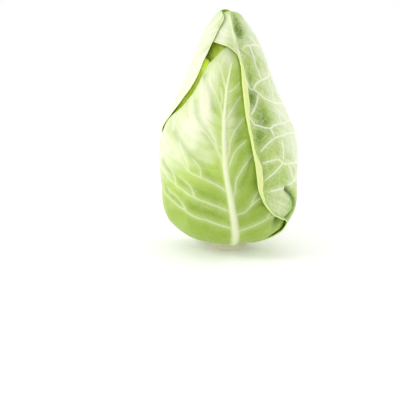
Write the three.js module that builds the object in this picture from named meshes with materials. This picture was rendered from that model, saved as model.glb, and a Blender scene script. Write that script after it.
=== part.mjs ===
// A pointed cabbage head standing on the flat cut face of its stalk.
// Every leaf is a thin closed shell. The leaves lie in layers, one outside the next, and each layer
// is measured inwards from the outline of the whole head towards one point on its axis.
// Azimuths are in degrees: 0 is the front (-Y), 90 is the right (+X), 180 is the back.
// Heights are in millimetres above the cut face of the stalk, read on the outline of the head.
import * as THREE from 'three';

// Driving dimensions.
const HEAD_HEIGHT = 216;
const HEAD_RADIUS = 63;
const CENTRE_HEIGHT = 84;
const STALK_RADIUS = 17.5;
const STALK_HEIGHT = 23;
const BLADE_THICKNESS = 1.3;
const LAYER_PITCH = 2.5;
const LEAF_TO_STALK_GAP = 0.6;
const HEART_TO_STALK_GAP = 0.6;
const RIB_HEIGHT_AT_BASE = 2.6;
const RIB_HEIGHT_AT_TIP = 0.4;
const RIB_HALF_WIDTH = 5;
const WIDEST_RIB_SHARE = 0.4;

// How finely the shells are divided.
const ROWS_ALONG_LEAF = 26;
const ROW_CROWDING = 0.07;
const COLUMNS_PER_HALF_BLADE = 8;
const HEART_COLUMNS = 28;
const HEART_ROWS = 16;
const STALK_SIDES = 32;
const OUTLINE_SAMPLES = 400;
const LINE_SAMPLES = 300;

// How much of a turn round the head counts as climb.
const TURN_WEIGHT = 0.1;

// The outline of the head as shares of its radius and height, from the stalk up to the tip.
const OUTLINE = [
  [0.0, 0.012], [0.30, 0.016], [0.54, 0.030], [0.75, 0.062], [0.90, 0.115], [0.98, 0.19],
  [1.0, 0.30], [1.0, 0.40], [0.965, 0.485], [0.88, 0.55], [0.77, 0.62], [0.67, 0.685],
  [0.565, 0.755], [0.485, 0.82], [0.415, 0.875], [0.315, 0.93], [0.21, 0.97], [0.115, 0.993], [0.0, 1.0],
];

// The leaves from the outermost layer inwards. A margin starts with the azimuth at which it leaves
// the stalk and goes on with points of azimuth and height. tip is where the margins meet, and a leaf
// without one closes over the tip of the head. A swell is a soft bump or hollow in the blade, with
// its azimuth, its height, its spread in each and how far it stands out.
const LEAVES = [
  {
    name: 'left_wrapper_leaf',
    colour: 0xe4efd2,
    ribbed: true,
    lowMargin: [-172, [-192, 14], [-216, 40], [-233, 80], [-239, 120], [-238, 160], [-226, 188], [-196, 206],
      [-150, 211]],
    midrib: [-137, [-138, 14], [-139, 40], [-140, 80], [-140, 120], [-138, 160], [-128, 188], [-100, 207]],
    highMargin: [-104, [-114, 14], [-130, 36], [-136, 62], [-126, 84], [-106, 101], [-89, 113], [-78, 123],
      [-68, 133], [-58, 145], [-51, 158], [-47, 170], [-41, 180], [-36, 189], [-30, 199], [-22, 208]],
    tip: [-52, 213],
    swells: [[-75, 213, 70, 6, 0.7]],
  },
  {
    name: 'right_wrapper_leaf',
    colour: 0xc8d9ae,
    ribbed: true,
    lowMargin: [76, [74, 13], [68, 22], [60, 30], [49, 35], [38, 40.5], [30, 49], [25, 58], [22, 68], [20, 84],
      [17.8, 98], [15.6, 116], [15, 136], [15.6, 152], [16.6, 168], [14, 178], [7, 183], [-5, 185.5],
      [-20, 189], [-42, 190], [-66, 194], [-90, 203], [-110, 209]],
    midrib: [112, [110, 13], [106, 32], [103, 60], [100, 95], [97, 130], [92, 160], [82, 188], [60, 206]],
    highMargin: [148, [165, 14], [186, 40], [201, 80], [206, 120], [205, 160], [198, 188], [190, 206]],
    swells: [
      [75, 110, 38, 75, 0.6],
      [36, 118, 18, 50, 2.2],
      [62, 44, 16, 20, 3.4],
      [0, 196, 14, 12, 1.2],
      [0, 216, 720, 6, 1.6],
    ],
  },
  {
    name: 'front_leaf',
    colour: 0xc3d795,
    ribbed: true,
    lowMargin: [-44, [-80, 13], [-112, 32], [-124, 60], [-118, 85], [-102, 103], [-86, 115], [-68, 127],
      [-54, 138], [-46, 148], [-43, 158], [-40, 168], [-31, 177], [-18, 185]],
    midrib: [7, [5.5, 14], [4, 28], [0.5, 52], [-4.4, 84], [-6, 118], [-6, 134], [-4.5, 151], [-1, 165], [4, 182]],
    highMargin: [72, [84, 14], [96, 35], [102, 62], [100, 90], [90, 115], [76, 135], [60, 155], [42, 172], [24, 185]],
    tip: [3, 193],
    swells: [[-74, 88, 26, 42, 4.4], [-26, 150, 14, 20, 1.4], [-30, 92, 16, 30, 1.6], [3, 188, 34, 12, -1.4]],
  },
  {
    name: 'back_leaf',
    colour: 0xc3d795,
    ribbed: false,
    lowMargin: [145, [122, 16], [99, 40], [86, 70], [80, 100], [84, 130], [94, 155], [110, 175], [140, 192]],
    midrib: [185, [185, 16], [185, 40], [184, 70], [184, 100], [184, 130], [182, 155], [181, 175], [180, 192]],
    highMargin: [225, [248, 16], [264, 40], [272, 70], [272, 100], [269, 130], [262, 155], [248, 175], [220, 192]],
    tip: [180, 203],
    swells: [],
  },
  {
    name: 'inner_left_leaf',
    colour: 0xa9cc2c,
    ribbed: false,
    lowMargin: [-125, [-150, 18], [-166, 45], [-176, 90], [-172, 130], [-160, 160], [-130, 182]],
    midrib: [-85, [-85, 18], [-86, 45], [-88, 90], [-88, 130], [-88, 160], [-89, 182]],
    highMargin: [-45, [-25, 18], [-8, 45], [0, 90], [-2, 130], [-12, 156], [-27, 173], [-44, 179], [-64, 186]],
    tip: [-90, 191],
    swells: [],
  },
  {
    name: 'inner_right_leaf',
    colour: 0x9cba54,
    ribbed: false,
    lowMargin: [20, [-6, 18], [-30, 45], [-45, 90], [-50, 130], [-50, 160], [-55, 182], [-60, 204]],
    midrib: [60, [60, 18], [60, 45], [60, 90], [60, 130], [59, 160], [57, 182], [50, 204]],
    highMargin: [100, [126, 18], [150, 45], [166, 90], [170, 130], [170, 160], [166, 182], [155, 204]],
    swells: [],
  },
];

// The outline as samples of radius and height, with the height rising from one to the next.
const outlineCurve = new THREE.SplineCurve(
  OUTLINE.map(([radius, height]) => new THREE.Vector2(radius * HEAD_RADIUS, height * HEAD_HEIGHT)),
);
const outlineSamples = outlineCurve.getPoints(OUTLINE_SAMPLES).map((point) => ({
  height: point.y,
  elevation: Math.atan2(point.y - CENTRE_HEIGHT, Math.max(point.x, 0)),
  reach: Math.hypot(Math.max(point.x, 0), point.y - CENTRE_HEIGHT),
}));

// Linear reading of one quantity of the outline against another.
function readOutline(key, value, wanted) {
  const last = outlineSamples.length - 1;
  let index = outlineSamples.findIndex((sample) => sample[key] > value);
  if (index === -1) index = last;
  index = Math.max(index, 1);
  const below = outlineSamples[index - 1];
  const above = outlineSamples[index];
  const share = (value - below[key]) / (above[key] - below[key]);
  return THREE.MathUtils.lerp(below[wanted], above[wanted], THREE.MathUtils.clamp(share, 0, 1));
}

const elevationAtHeight = (height) => readOutline('height', height, 'elevation');
const heightAtElevation = (elevation) => readOutline('elevation', elevation, 'height');
const reachAtElevation = (elevation) => readOutline('elevation', elevation, 'reach');

// A point at a distance from the centre of the head, in a direction.
function pointFromCentre(azimuth, elevation, distance) {
  const turn = THREE.MathUtils.degToRad(azimuth);
  const level = distance * Math.cos(elevation);
  return new THREE.Vector3(
    level * Math.sin(turn),
    -level * Math.cos(turn),
    CENTRE_HEIGHT + distance * Math.sin(elevation),
  );
}

// How far the swells of a leaf lift its blade at one place.
function swellAt(leaf, azimuth, elevation) {
  const height = heightAtElevation(elevation);
  let out = 0;
  for (const [middle, level, wide, tall, rise] of leaf.swells) {
    const across = (azimuth - middle) / wide;
    const along = (height - level) / tall;
    out += rise * Math.exp(-(across * across) - along * along);
  }
  return out;
}

// A margin or midrib as azimuth and elevation, both in radians, read at a share of its climb. Turning
// counts for little in the climb, so that a row across the leaf joins places at like heights.
function climbingLine(line, footElevation, tip) {
  const [footAzimuth, ...places] = line;
  const points = [new THREE.Vector2(THREE.MathUtils.degToRad(footAzimuth), footElevation)];
  for (const [azimuth, height] of places) {
    points.push(new THREE.Vector2(THREE.MathUtils.degToRad(azimuth), elevationAtHeight(height)));
  }
  const last = places[places.length - 1];
  const [tipAzimuth, tipHeight] = tip ?? [last[0], HEAD_HEIGHT];
  points.push(new THREE.Vector2(THREE.MathUtils.degToRad(tipAzimuth), elevationAtHeight(tipHeight)));
  const samples = new THREE.SplineCurve(points).getPoints(LINE_SAMPLES);
  const climbs = [0];
  for (let index = 1; index < samples.length; index += 1) {
    const step = samples[index].clone().sub(samples[index - 1]);
    climbs.push(climbs[index - 1] + Math.hypot(step.x * TURN_WEIGHT, step.y));
  }
  return (share) => {
    const wanted = share * climbs[climbs.length - 1];
    const index = Math.max(1, climbs.findIndex((climb) => climb >= wanted - 1e-9));
    const between = (wanted - climbs[index - 1]) / (climbs[index] - climbs[index - 1]);
    return samples[index - 1].clone().lerp(samples[index], THREE.MathUtils.clamp(between, 0, 1));
  };
}

// The places of one row across half a blade, from the edge of the rib out to the margin.
function halfRow(middle, side) {
  const turn = Math.abs(side.x - middle.x) * Math.cos(middle.y);
  const halfWidth = reachAtElevation(middle.y) * Math.hypot(turn, side.y - middle.y);
  const ribShare = Math.min(RIB_HALF_WIDTH / halfWidth, WIDEST_RIB_SHARE);
  const places = [];
  for (let column = 0; column <= COLUMNS_PER_HALF_BLADE; column += 1) {
    const share = THREE.MathUtils.lerp(ribShare, 1, column / COLUMNS_PER_HALF_BLADE);
    places.push(middle.clone().lerp(side, share));
  }
  return places;
}

// Rows are closer together near the stalk and the tip, where the head curves most.
function rowShare(row) {
  const even = row / ROWS_ALONG_LEAF;
  return even - ROW_CROWDING * Math.sin(2 * Math.PI * even);
}

// A closed mesh from an outer and an inner grid of points that share one tip.
function shellGeometry(outer, inner, outerTip, innerTip) {
  const rows = outer.length;
  const columns = outer[0].length;
  const positions = [];
  for (const grid of [outer, inner]) {
    for (const row of grid) {
      for (const point of row) positions.push(point.x, point.y, point.z);
    }
  }
  positions.push(outerTip.x, outerTip.y, outerTip.z, innerTip.x, innerTip.y, innerTip.z);
  const outerAt = (row, column) => (row === rows ? 2 * rows * columns : row * columns + column);
  const innerAt = (row, column) => (row === rows ? 2 * rows * columns + 1 : (rows + row) * columns + column);
  const faces = [];
  const addQuad = (a, b, c, d) => {
    for (const face of [[a, b, c], [a, c, d]]) {
      if (new Set(face).size === 3) faces.push(...face);
    }
  };
  for (let row = 0; row < rows; row += 1) {
    for (let column = 0; column < columns - 1; column += 1) {
      addQuad(outerAt(row, column), outerAt(row, column + 1), outerAt(row + 1, column + 1), outerAt(row + 1, column));
      addQuad(innerAt(row, column), innerAt(row + 1, column), innerAt(row + 1, column + 1), innerAt(row, column + 1));
    }
    addQuad(outerAt(row, 0), outerAt(row + 1, 0), innerAt(row + 1, 0), innerAt(row, 0));
    const end = columns - 1;
    addQuad(outerAt(row, end), innerAt(row, end), innerAt(row + 1, end), outerAt(row + 1, end));
  }
  for (let column = 0; column < columns - 1; column += 1) {
    addQuad(outerAt(0, column), innerAt(0, column), innerAt(0, column + 1), outerAt(0, column + 1));
  }
  const geometry = new THREE.BufferGeometry();
  geometry.setAttribute('position', new THREE.Float32BufferAttribute(positions, 3));
  geometry.setIndex(faces);
  geometry.computeVertexNormals();
  return geometry;
}

// One leaf, wrapped round the head in its own layer.
function leafGeometry(leaf, layer) {
  const depth = layer * LAYER_PITCH;
  const lowestReach = CENTRE_HEIGHT - depth - BLADE_THICKNESS;
  const footRadius = STALK_RADIUS + LEAF_TO_STALK_GAP + 1;
  const footElevation = Math.asin(footRadius / lowestReach) - Math.PI / 2;
  const [lowMargin, midrib, highMargin] = [leaf.lowMargin, leaf.midrib, leaf.highMargin].map(
    (line) => climbingLine(line, footElevation, leaf.tip),
  );

  const facesAt = (azimuth, elevation, ribHeight) => {
    const degrees = THREE.MathUtils.radToDeg(azimuth);
    const inside = reachAtElevation(elevation) - depth - BLADE_THICKNESS + swellAt(leaf, degrees, elevation);
    return [
      pointFromCentre(degrees, elevation, inside + BLADE_THICKNESS + ribHeight),
      pointFromCentre(degrees, elevation, inside),
    ];
  };

  const outer = [];
  const inner = [];
  for (let row = 0; row < ROWS_ALONG_LEAF; row += 1) {
    const share = rowShare(row);
    const middle = midrib(share);
    const sides = [lowMargin(share), highMargin(share)];
    const ribHeight = leaf.ribbed ? THREE.MathUtils.lerp(RIB_HEIGHT_AT_BASE, RIB_HEIGHT_AT_TIP, share) : 0;
    const [lowPlaces, highPlaces] = sides.map((side) => halfRow(middle, side));
    const places = [...lowPlaces.reverse(), middle, ...highPlaces];
    const faces = places.map((place) => facesAt(place.x, place.y, place === middle ? ribHeight : 0));
    outer.push(faces.map(([outerPoint]) => outerPoint));
    inner.push(faces.map(([, innerPoint]) => innerPoint));
  }
  const end = midrib(1);
  const [outerTip, innerTip] = facesAt(end.x, end.y, 0);
  return shellGeometry(outer, inner, outerTip, innerTip);
}

// The tightly packed leaves inside, as one solid under the innermost separate leaf.
function heartGeometry() {
  const depth = LEAVES.length * LAYER_PITCH;
  const lowest = STALK_HEIGHT + HEART_TO_STALK_GAP;
  const profile = [];
  for (let row = 0; row <= HEART_ROWS; row += 1) {
    const elevation = THREE.MathUtils.lerp(-Math.PI / 2, Math.PI / 2, row / HEART_ROWS);
    const distance = reachAtElevation(elevation) - depth;
    const radius = row % HEART_ROWS === 0 ? 0 : distance * Math.cos(elevation);
    profile.push(new THREE.Vector2(radius, Math.max(CENTRE_HEIGHT + distance * Math.sin(elevation), lowest)));
  }
  return new THREE.LatheGeometry(profile, HEART_COLUMNS).rotateX(Math.PI / 2);
}

// The trimmed stalk: a stump with a flat cut face below, a bevelled rim and a taper into the head.
function stalkGeometry() {
  const profile = [
    [0, 0], [0.95, 0], [1, 0.05], [1, 0.3], [0.97, 0.6], [0.9, 1], [0, 1],
  ].map(([radius, height]) => new THREE.Vector2(radius * STALK_RADIUS, height * STALK_HEIGHT));
  return new THREE.LatheGeometry(profile, STALK_SIDES).rotateX(Math.PI / 2);
}

function addPart(group, name, geometry, colour, roughness) {
  const material = new THREE.MeshStandardMaterial({ color: colour, roughness, metalness: 0 });
  const mesh = new THREE.Mesh(geometry, material);
  mesh.name = name;
  group.add(mesh);
}

const cabbage = new THREE.Group();
addPart(cabbage, 'stalk', stalkGeometry(), 0xe3e2b8, 0.7);
addPart(cabbage, 'heart', heartGeometry(), 0xd9df9a, 0.6);
LEAVES.forEach((leaf, layer) => addPart(cabbage, leaf.name, leafGeometry(leaf, layer), leaf.colour, 0.5));

export default cabbage;
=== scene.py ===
import math

import bpy
import numpy as np
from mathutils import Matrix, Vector


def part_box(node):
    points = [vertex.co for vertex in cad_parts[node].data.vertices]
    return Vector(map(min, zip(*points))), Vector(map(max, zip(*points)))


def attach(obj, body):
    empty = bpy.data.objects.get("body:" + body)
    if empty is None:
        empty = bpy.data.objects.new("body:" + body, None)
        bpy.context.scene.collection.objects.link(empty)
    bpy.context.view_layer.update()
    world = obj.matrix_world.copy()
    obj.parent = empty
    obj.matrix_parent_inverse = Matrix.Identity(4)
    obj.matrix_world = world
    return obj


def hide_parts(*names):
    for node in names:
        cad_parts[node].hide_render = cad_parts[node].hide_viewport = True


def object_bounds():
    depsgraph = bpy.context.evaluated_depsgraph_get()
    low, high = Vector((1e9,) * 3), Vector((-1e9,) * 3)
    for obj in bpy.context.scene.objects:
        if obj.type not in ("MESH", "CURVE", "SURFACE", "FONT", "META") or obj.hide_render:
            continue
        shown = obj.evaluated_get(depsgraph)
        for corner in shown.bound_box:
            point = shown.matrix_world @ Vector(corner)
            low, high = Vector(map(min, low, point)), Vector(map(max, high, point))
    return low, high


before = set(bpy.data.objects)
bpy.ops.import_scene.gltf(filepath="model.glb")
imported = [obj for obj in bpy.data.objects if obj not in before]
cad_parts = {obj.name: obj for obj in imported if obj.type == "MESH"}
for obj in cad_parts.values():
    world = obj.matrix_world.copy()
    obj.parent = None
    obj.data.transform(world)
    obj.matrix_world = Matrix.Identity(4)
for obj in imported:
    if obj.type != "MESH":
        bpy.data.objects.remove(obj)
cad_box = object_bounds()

MM = 0.001
WHITE = (1, 1, 1, 1)

# ------------------------------------------------------------------ camera and studio
# The head stands on a wide, faintly lit pale floor in a white room that lights it all
# round. A broad soft light stands to the left and a weaker one behind it to the right.
head_height = cad_box[1].z
LENS = 85
CAMERA_DISTANCE = 4.03 * head_height
CAMERA_ELEVATION = math.radians(12)
CAMERA_TARGET = Vector((-0.1215, 0, 0.2025)) * head_height

camera = bpy.data.objects.new("camera", bpy.data.cameras.new("camera"))
camera.data.lens = LENS
back = Vector((0, -math.cos(CAMERA_ELEVATION), math.sin(CAMERA_ELEVATION)))
camera.location = CAMERA_TARGET + back * CAMERA_DISTANCE
camera.rotation_mode = "QUATERNION"
camera.rotation_quaternion = (-back).to_track_quat("-Z", "Y")
bpy.context.collection.objects.link(camera)
bpy.context.scene.camera = camera
bpy.context.scene.view_settings.view_transform = "Standard"


class Wire:
    """One socket of a material, so that maths on it reads as an expression."""

    def __init__(self, finish, socket):
        self.finish = finish
        self.socket = socket

    def maths(self, operation, *values):
        return self.finish.node("ShaderNodeMath", {"operation": operation}, *values)

    def __add__(self, other):
        return self.maths("ADD", self, other)

    def __radd__(self, other):
        return self.maths("ADD", other, self)

    def __sub__(self, other):
        return self.maths("SUBTRACT", self, other)

    def __rsub__(self, other):
        return self.maths("SUBTRACT", other, self)

    def __mul__(self, other):
        return self.maths("MULTIPLY", self, other)

    def __rmul__(self, other):
        return self.maths("MULTIPLY", other, self)

    def held(self):
        """The value kept between 0 and 1."""
        return self.finish.node("ShaderNodeClamp", {}, self, 0.0, 1.0)


class Finish:
    """A material, and the one method that adds a node to it."""

    def __init__(self, name):
        self.material = bpy.data.materials.new(name)
        self.material.use_nodes = True
        self.tree = self.material.node_tree
        self.shader = self.tree.nodes["Principled BSDF"]

    def node(self, kind, settings, *values, output=0, **named):
        """Adds a node, sets it up, and gives its sockets values or links, by order or by name."""
        node = self.tree.nodes.new(kind)
        for key, value in settings.items():
            setattr(node, key, value)
        for key, value in list(enumerate(values)) + list(named.items()):
            self.put(node.inputs[key if isinstance(key, int) else key.replace("_", " ")], value)
        return Wire(self, node.outputs[output])

    def put(self, socket, value):
        if isinstance(value, Wire):
            self.tree.links.new(value.socket, socket)
        elif value is not None:
            socket.default_value = value

    def set(self, **named):
        """Sets or links sockets of the shader itself."""
        for key, value in named.items():
            self.put(self.shader.inputs[key.replace("_", " ")], value)

    def mixed(self, share, first, second):
        """One colour turning into another as share goes from 0 to 1."""
        node = self.tree.nodes.new("ShaderNodeMix")
        node.data_type = "RGBA"
        self.put(node.inputs[0], share)
        self.put(node.inputs[6], first)
        self.put(node.inputs[7], second)
        return Wire(self, node.outputs[2])

    def place(self):
        return self.node("ShaderNodeTexCoord", {}, output="Object")

    def noise(self, size, detail=3.0, roughness=0.5):
        """Soft noise whose lumps are about size across, in metres."""
        return self.node("ShaderNodeTexNoise", {}, Vector=self.place(), Scale=1 / size,
                         Detail=detail, Roughness=roughness)

    def kept(self, name):
        """A value stored on the mesh's points."""
        return self.node("ShaderNodeAttribute", {"attribute_name": name}, output="Fac")

    def ramp(self, value, low, high):
        """0 below low and 1 above high, with a soft step between."""
        return self.node("ShaderNodeMapRange", {"interpolation_type": "SMOOTHSTEP"},
                         value, low, high, 0.0, 1.0)

    def bump(self, height, depth, strength):
        return self.node("ShaderNodeBump", {}, Strength=strength, Distance=depth, Height=height)


def solid(name, points, faces, **kept):
    """A mesh object from points and faces, smooth shaded, with values kept on its points."""
    mesh = bpy.data.meshes.new(name)
    mesh.from_pydata(points.tolist(), [], faces)
    mesh.polygons.foreach_set("use_smooth", np.ones(len(mesh.polygons), bool))
    for key, values in kept.items():
        mesh.attributes.new(key, "FLOAT", "POINT").data.foreach_set("value", values.ravel())
    mesh.update()
    piece = bpy.data.objects.new(name, mesh)
    bpy.context.collection.objects.link(piece)
    return piece


FLOOR_RADIUS = 60 * head_height
around = np.linspace(0, 2 * math.pi, 64, endpoint=False)
floor_points = np.stack([np.cos(around), np.sin(around), 0 * around], 1) * FLOOR_RADIUS
floor = solid("studio_floor", floor_points, [tuple(range(64))])
pale_paint = Finish("pale floor")
PALE_LOW = (0.86, 0.86, 0.86, 1)
PALE_HIGH = (0.88, 0.88, 0.88, 1)
pale_paint.set(Base_Color=pale_paint.mixed(pale_paint.noise(0.4), PALE_LOW, PALE_HIGH), Roughness=0.8)
pale_paint.shader.inputs["Emission Color"].default_value = WHITE
pale_paint.shader.inputs["Emission Strength"].default_value = 0.14
floor.data.materials.append(pale_paint.material)

world = bpy.data.worlds.new("pale room")
world.use_nodes = True
world.node_tree.nodes["Background"].inputs["Color"].default_value = WHITE
world.node_tree.nodes["Background"].inputs["Strength"].default_value = 1.0
bpy.context.scene.world = world


def soft_light(name, direction, distance, size, power):
    """A square softbox that faces the middle of the head."""
    light = bpy.data.objects.new(name, bpy.data.lights.new(name, "AREA"))
    light.data.size = size
    light.data.energy = power
    middle = Vector((0, 0, head_height / 2))
    light.location = middle + Vector(direction).normalized() * distance
    light.rotation_mode = "QUATERNION"
    light.rotation_quaternion = (middle - light.location).to_track_quat("-Z", "Y")
    bpy.context.collection.objects.link(light)


soft_light("key", (-1.0, -0.35, 0.6), 4.2 * head_height, 1.5 * head_height, 2.6)
soft_light("fill", (1.0, 0.5, 0.4), 4.6 * head_height, 2.0 * head_height, 1.6)

# ------------------------------------------------------------------ stalk
# The stump of the stem that the head was cut from. It is woody plant tissue, pale and
# fibrous at the cut, with a bevelled rim, and the head rests on its flat cut face.
stalk_low, stalk_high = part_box("stalk")
stalk_radius = (stalk_high.x - stalk_low.x) / 2
stalk_height = stalk_high.z


def closed_lathe(name, radii, heights, sides, uneven):
    """A turned solid from the axis out and back to it, with uneven(angle, height) as its relief."""
    angles = np.linspace(0, 2 * math.pi, sides, endpoint=False)
    rings = []
    for radius, height in zip(radii[1:-1], heights[1:-1]):
        reach = radius + uneven(angles, height)
        rings.append(np.stack([reach * np.cos(angles), reach * np.sin(angles), np.full(sides, height)], 1))
    points = np.concatenate(rings + [[[0, 0, heights[0]], [0, 0, heights[-1]]]])
    first, last = len(points) - 2, len(points) - 1
    faces = []
    for side in range(sides):
        after = (side + 1) % sides
        for ring in range(len(rings) - 1):
            low, high = ring * sides, (ring + 1) * sides
            faces.append((low + side, low + after, high + after, high + side))
        end = (len(rings) - 1) * sides
        faces.append((first, after, side))
        faces.append((last, end + side, end + after))
    return solid(name, points, faces)


CUT_DISH = 0.5 * MM
# The stump's profile from the middle of the cut face out and up, as shares of its radius and height.
PROFILE_RADII = [0, 0.2, 0.4, 0.6, 0.78, 0.9, 0.955, 0.985, 1, 1, 0.99, 0.985, 0.97, 0.94, 0.9, 0.86, 0.6, 0]
PROFILE_HEIGHTS = [0, 0, 0, 0, 0, 0, 0.004, 0.016, 0.05, 0.12, 0.2, 0.28, 0.4, 0.6, 0.8, 0.97, 1, 1]
profile_radius = stalk_radius * np.array(PROFILE_RADII)
profile_height = stalk_height * np.array(PROFILE_HEIGHTS)
dish = CUT_DISH * np.clip(1 - (profile_radius / (0.85 * stalk_radius)) ** 2, 0, 1)
profile_height = profile_height + np.where(profile_height == 0, dish, 0)


def stalk_uneven(angles, height):
    knots = 0.35 * MM * np.sin(5 * angles + 1.0) + 0.2 * MM * np.sin(11 * angles + 300 * height)
    return knots * min(1.0, height / (3 * MM)) - 0.4 * MM


stalk = closed_lathe("stalk_stump", profile_radius, profile_height, 96, stalk_uneven)
fibre = Finish("cut stalk")
rings = fibre.noise(1.2 * MM, 4.0, 0.65)
grain = fibre.node("ShaderNodeTexNoise", {}, Vector=fibre.place(), Scale=420.0, Detail=4.0)
tint = fibre.mixed(rings, (0.72, 0.70, 0.42, 1), (0.86, 0.86, 0.66, 1))
tint = fibre.mixed(fibre.ramp(grain, 0.55, 0.75) * 0.5, tint, (0.46, 0.40, 0.20, 1))
fibre.set(Base_Color=tint, Roughness=0.72, Normal=fibre.bump(grain, 0.3 * MM, 0.6))
stalk.data.materials.append(fibre.material)
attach(stalk, "root")
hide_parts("stalk")

# ------------------------------------------------------------------ heart
# The small leaves packed tight round the inner stalk. Only their outside shows, in the
# gaps under the wrapper leaves, so they are one lumpy solid in the innermost layer.
heart_low, heart_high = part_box("heart")
LAYER_PITCH = 2.5 * MM
LEAF_LAYERS = 6
BLADE_SPACE = 1.3 * MM
head_radius = (heart_high.x - heart_low.x) / 2 + LEAF_LAYERS * LAYER_PITCH
centre_height = 0.389 * head_height

# The outline of the head as shares of its radius and height, from the stalk up to the tip.
OUTLINE = [
    (0.0, 0.012), (0.30, 0.016), (0.54, 0.030), (0.75, 0.062), (0.90, 0.115), (0.98, 0.19),
    (1.0, 0.30), (1.0, 0.40), (0.965, 0.485), (0.88, 0.55), (0.77, 0.62), (0.67, 0.685),
    (0.565, 0.755), (0.485, 0.82), (0.415, 0.875), (0.315, 0.93), (0.21, 0.97), (0.115, 0.993), (0.0, 1.0),
]


def flowing(points, count, weights=1.0):
    """A smooth line through the points, as count places the same (weighted) distance apart."""
    points = np.array(points, float)
    padded = np.concatenate([points[:1], points, points[-1:]])
    share = np.linspace(0, 1, 12, endpoint=False)[:, None]
    spans = []
    for a, b, c, d in zip(padded, padded[1:], padded[2:], padded[3:]):
        spans.append(0.5 * (2 * b + (c - a) * share + (2 * a - 5 * b + 4 * c - d) * share**2
                            + (3 * b - a - 3 * c + d) * share**3))
    line = np.concatenate(spans + [points[-1:]])
    run = np.concatenate([[0], np.cumsum(np.linalg.norm(np.diff(line, axis=0) * weights, axis=1))])
    wanted = np.linspace(0, run[-1], count)
    return np.stack([np.interp(wanted, run, line[:, i]) for i in range(points.shape[1])], 1)


outline = flowing(np.array(OUTLINE) * (head_radius, head_height), 1500)
outline_elevation = np.arctan2(outline[:, 1] - centre_height, np.maximum(outline[:, 0], 0))
outline_reach = np.hypot(outline[:, 0], outline[:, 1] - centre_height)


def head_reach(elevation):
    """How far the outline of the head is from its centre at an elevation."""
    return np.interp(elevation, outline_elevation, outline_reach)


def elevation_at(height):
    return np.interp(height, outline[:, 1], outline_elevation)


def height_at(elevation):
    return np.interp(elevation, outline_elevation, outline[:, 1])


def from_centre(azimuth, elevation, reach):
    """Points at a reach from the centre. Azimuth 0 is the front and 90 degrees the right."""
    level = reach * np.cos(elevation)
    return np.stack([level * np.sin(azimuth), -level * np.cos(azimuth),
                     centre_height + reach * np.sin(elevation)], -1)


def lumps(points, size, seed):
    """Smooth unevenness between about -1 and 1, with lumps of about size."""
    dice = np.random.default_rng(seed)
    total = np.zeros(points.shape[:-1])
    waves = 18
    for _ in range(waves):
        direction = dice.normal(size=3)
        direction *= 2 * math.pi / (size * dice.uniform(1.4, 3.2) * np.linalg.norm(direction))
        total += np.sin(points @ direction + dice.uniform(0, 2 * math.pi))
    return total * math.sqrt(2 / waves) / 1.8


heart_azimuth = np.linspace(0, 2 * math.pi, 160, endpoint=False)
heart_elevation = np.linspace(-math.pi / 2, math.pi / 2, 120)[1:-1]
azimuths, elevations = np.meshgrid(heart_azimuth, heart_elevation)
reach = head_reach(elevations) - LEAF_LAYERS * LAYER_PITCH
bed = from_centre(azimuths, elevations, reach)
reach = reach - 1.0 * MM + 0.7 * MM * lumps(bed, 18 * MM, 3)
wrap_edge = (azimuths * 1.5 / math.pi + 2.2 * elevations / math.pi) % 1.0
reach = reach - 1.2 * MM * wrap_edge
ring_count = reach.shape[1]
heart_points = from_centre(azimuths, elevations, reach).reshape(-1, 3)
heart_points[:, 2] = np.maximum(heart_points[:, 2], heart_low.z)
poles = from_centre(np.zeros(2), np.array([-1, 1]) * math.pi / 2, reach[[0, -1]].mean(1))
poles[0, 2] = heart_low.z
bottom, top = len(heart_points), len(heart_points) + 1
heart_faces = []
for row in range(len(heart_elevation)):
    for column in range(ring_count):
        after = (column + 1) % ring_count
        here, there = row * ring_count, (row + 1) * ring_count
        if row == 0:
            heart_faces.append((bottom, after, column))
        if row == len(heart_elevation) - 1:
            heart_faces.append((top, here + column, here + after))
        else:
            heart_faces.append((here + column, here + after, there + after, there + column))
heart = solid("heart_of_packed_leaves", np.concatenate([heart_points, poles]), heart_faces)
pith = Finish("packed inner leaves")
pith.set(Base_Color=pith.mixed(pith.noise(9 * MM), (0.36, 0.50, 0.05, 1), (0.56, 0.66, 0.16, 1)),
         Roughness=0.5, Normal=pith.bump(pith.noise(3 * MM), 0.4 * MM, 0.5))
heart.data.materials.append(pith.material)
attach(heart, "root")
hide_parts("heart")

# ------------------------------------------------------------------ inner leaves
# Two leaves under the wrappers, thin and crisp, a bright yellow-green where they have had
# no sun. Each grows from the stalk by its midrib and is wrapped round the heart.
BLADE = 0.8 * MM                # thickness of a leaf away from its ribs
FOOT_GAP = 1.6 * MM             # between the stalk and the foot of a leaf
PLAIN_GRID = (150, 50)          # rows up a leaf, and columns from its midrib to a margin
FINE_GRID = (290, 114)
WIDE_GRID = (240, 140)
EDGE_STEPS = np.array([2.6, 1.7, 1.0, 0.5, 0.2, 0.0]) * MM
EDGE_COLUMNS = len(EDGE_STEPS) - 1
ROLL_COLUMNS = 9                # across a rolled margin
TAPER = 0.06                    # share of a leaf's length over which its rolls start and end
TURN_WEIGHT = 0.1               # how much a line's turning counts beside its climb
FADE = math.radians(9)          # over which blisters and veins fade out under the next leaf
BLISTER = 15 * MM
SMALL_BLISTER = 6.5 * MM
SMALL_SHARE = 0.22
FULL_SHADE_DEPTH = 3.0 * MM          # the depth at which a hollow gets its full painted shade
INNER_ROW_STEP = 3              # rows and columns in one face of the coarse inner face
INNER_COLUMN_STEP = 4


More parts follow.
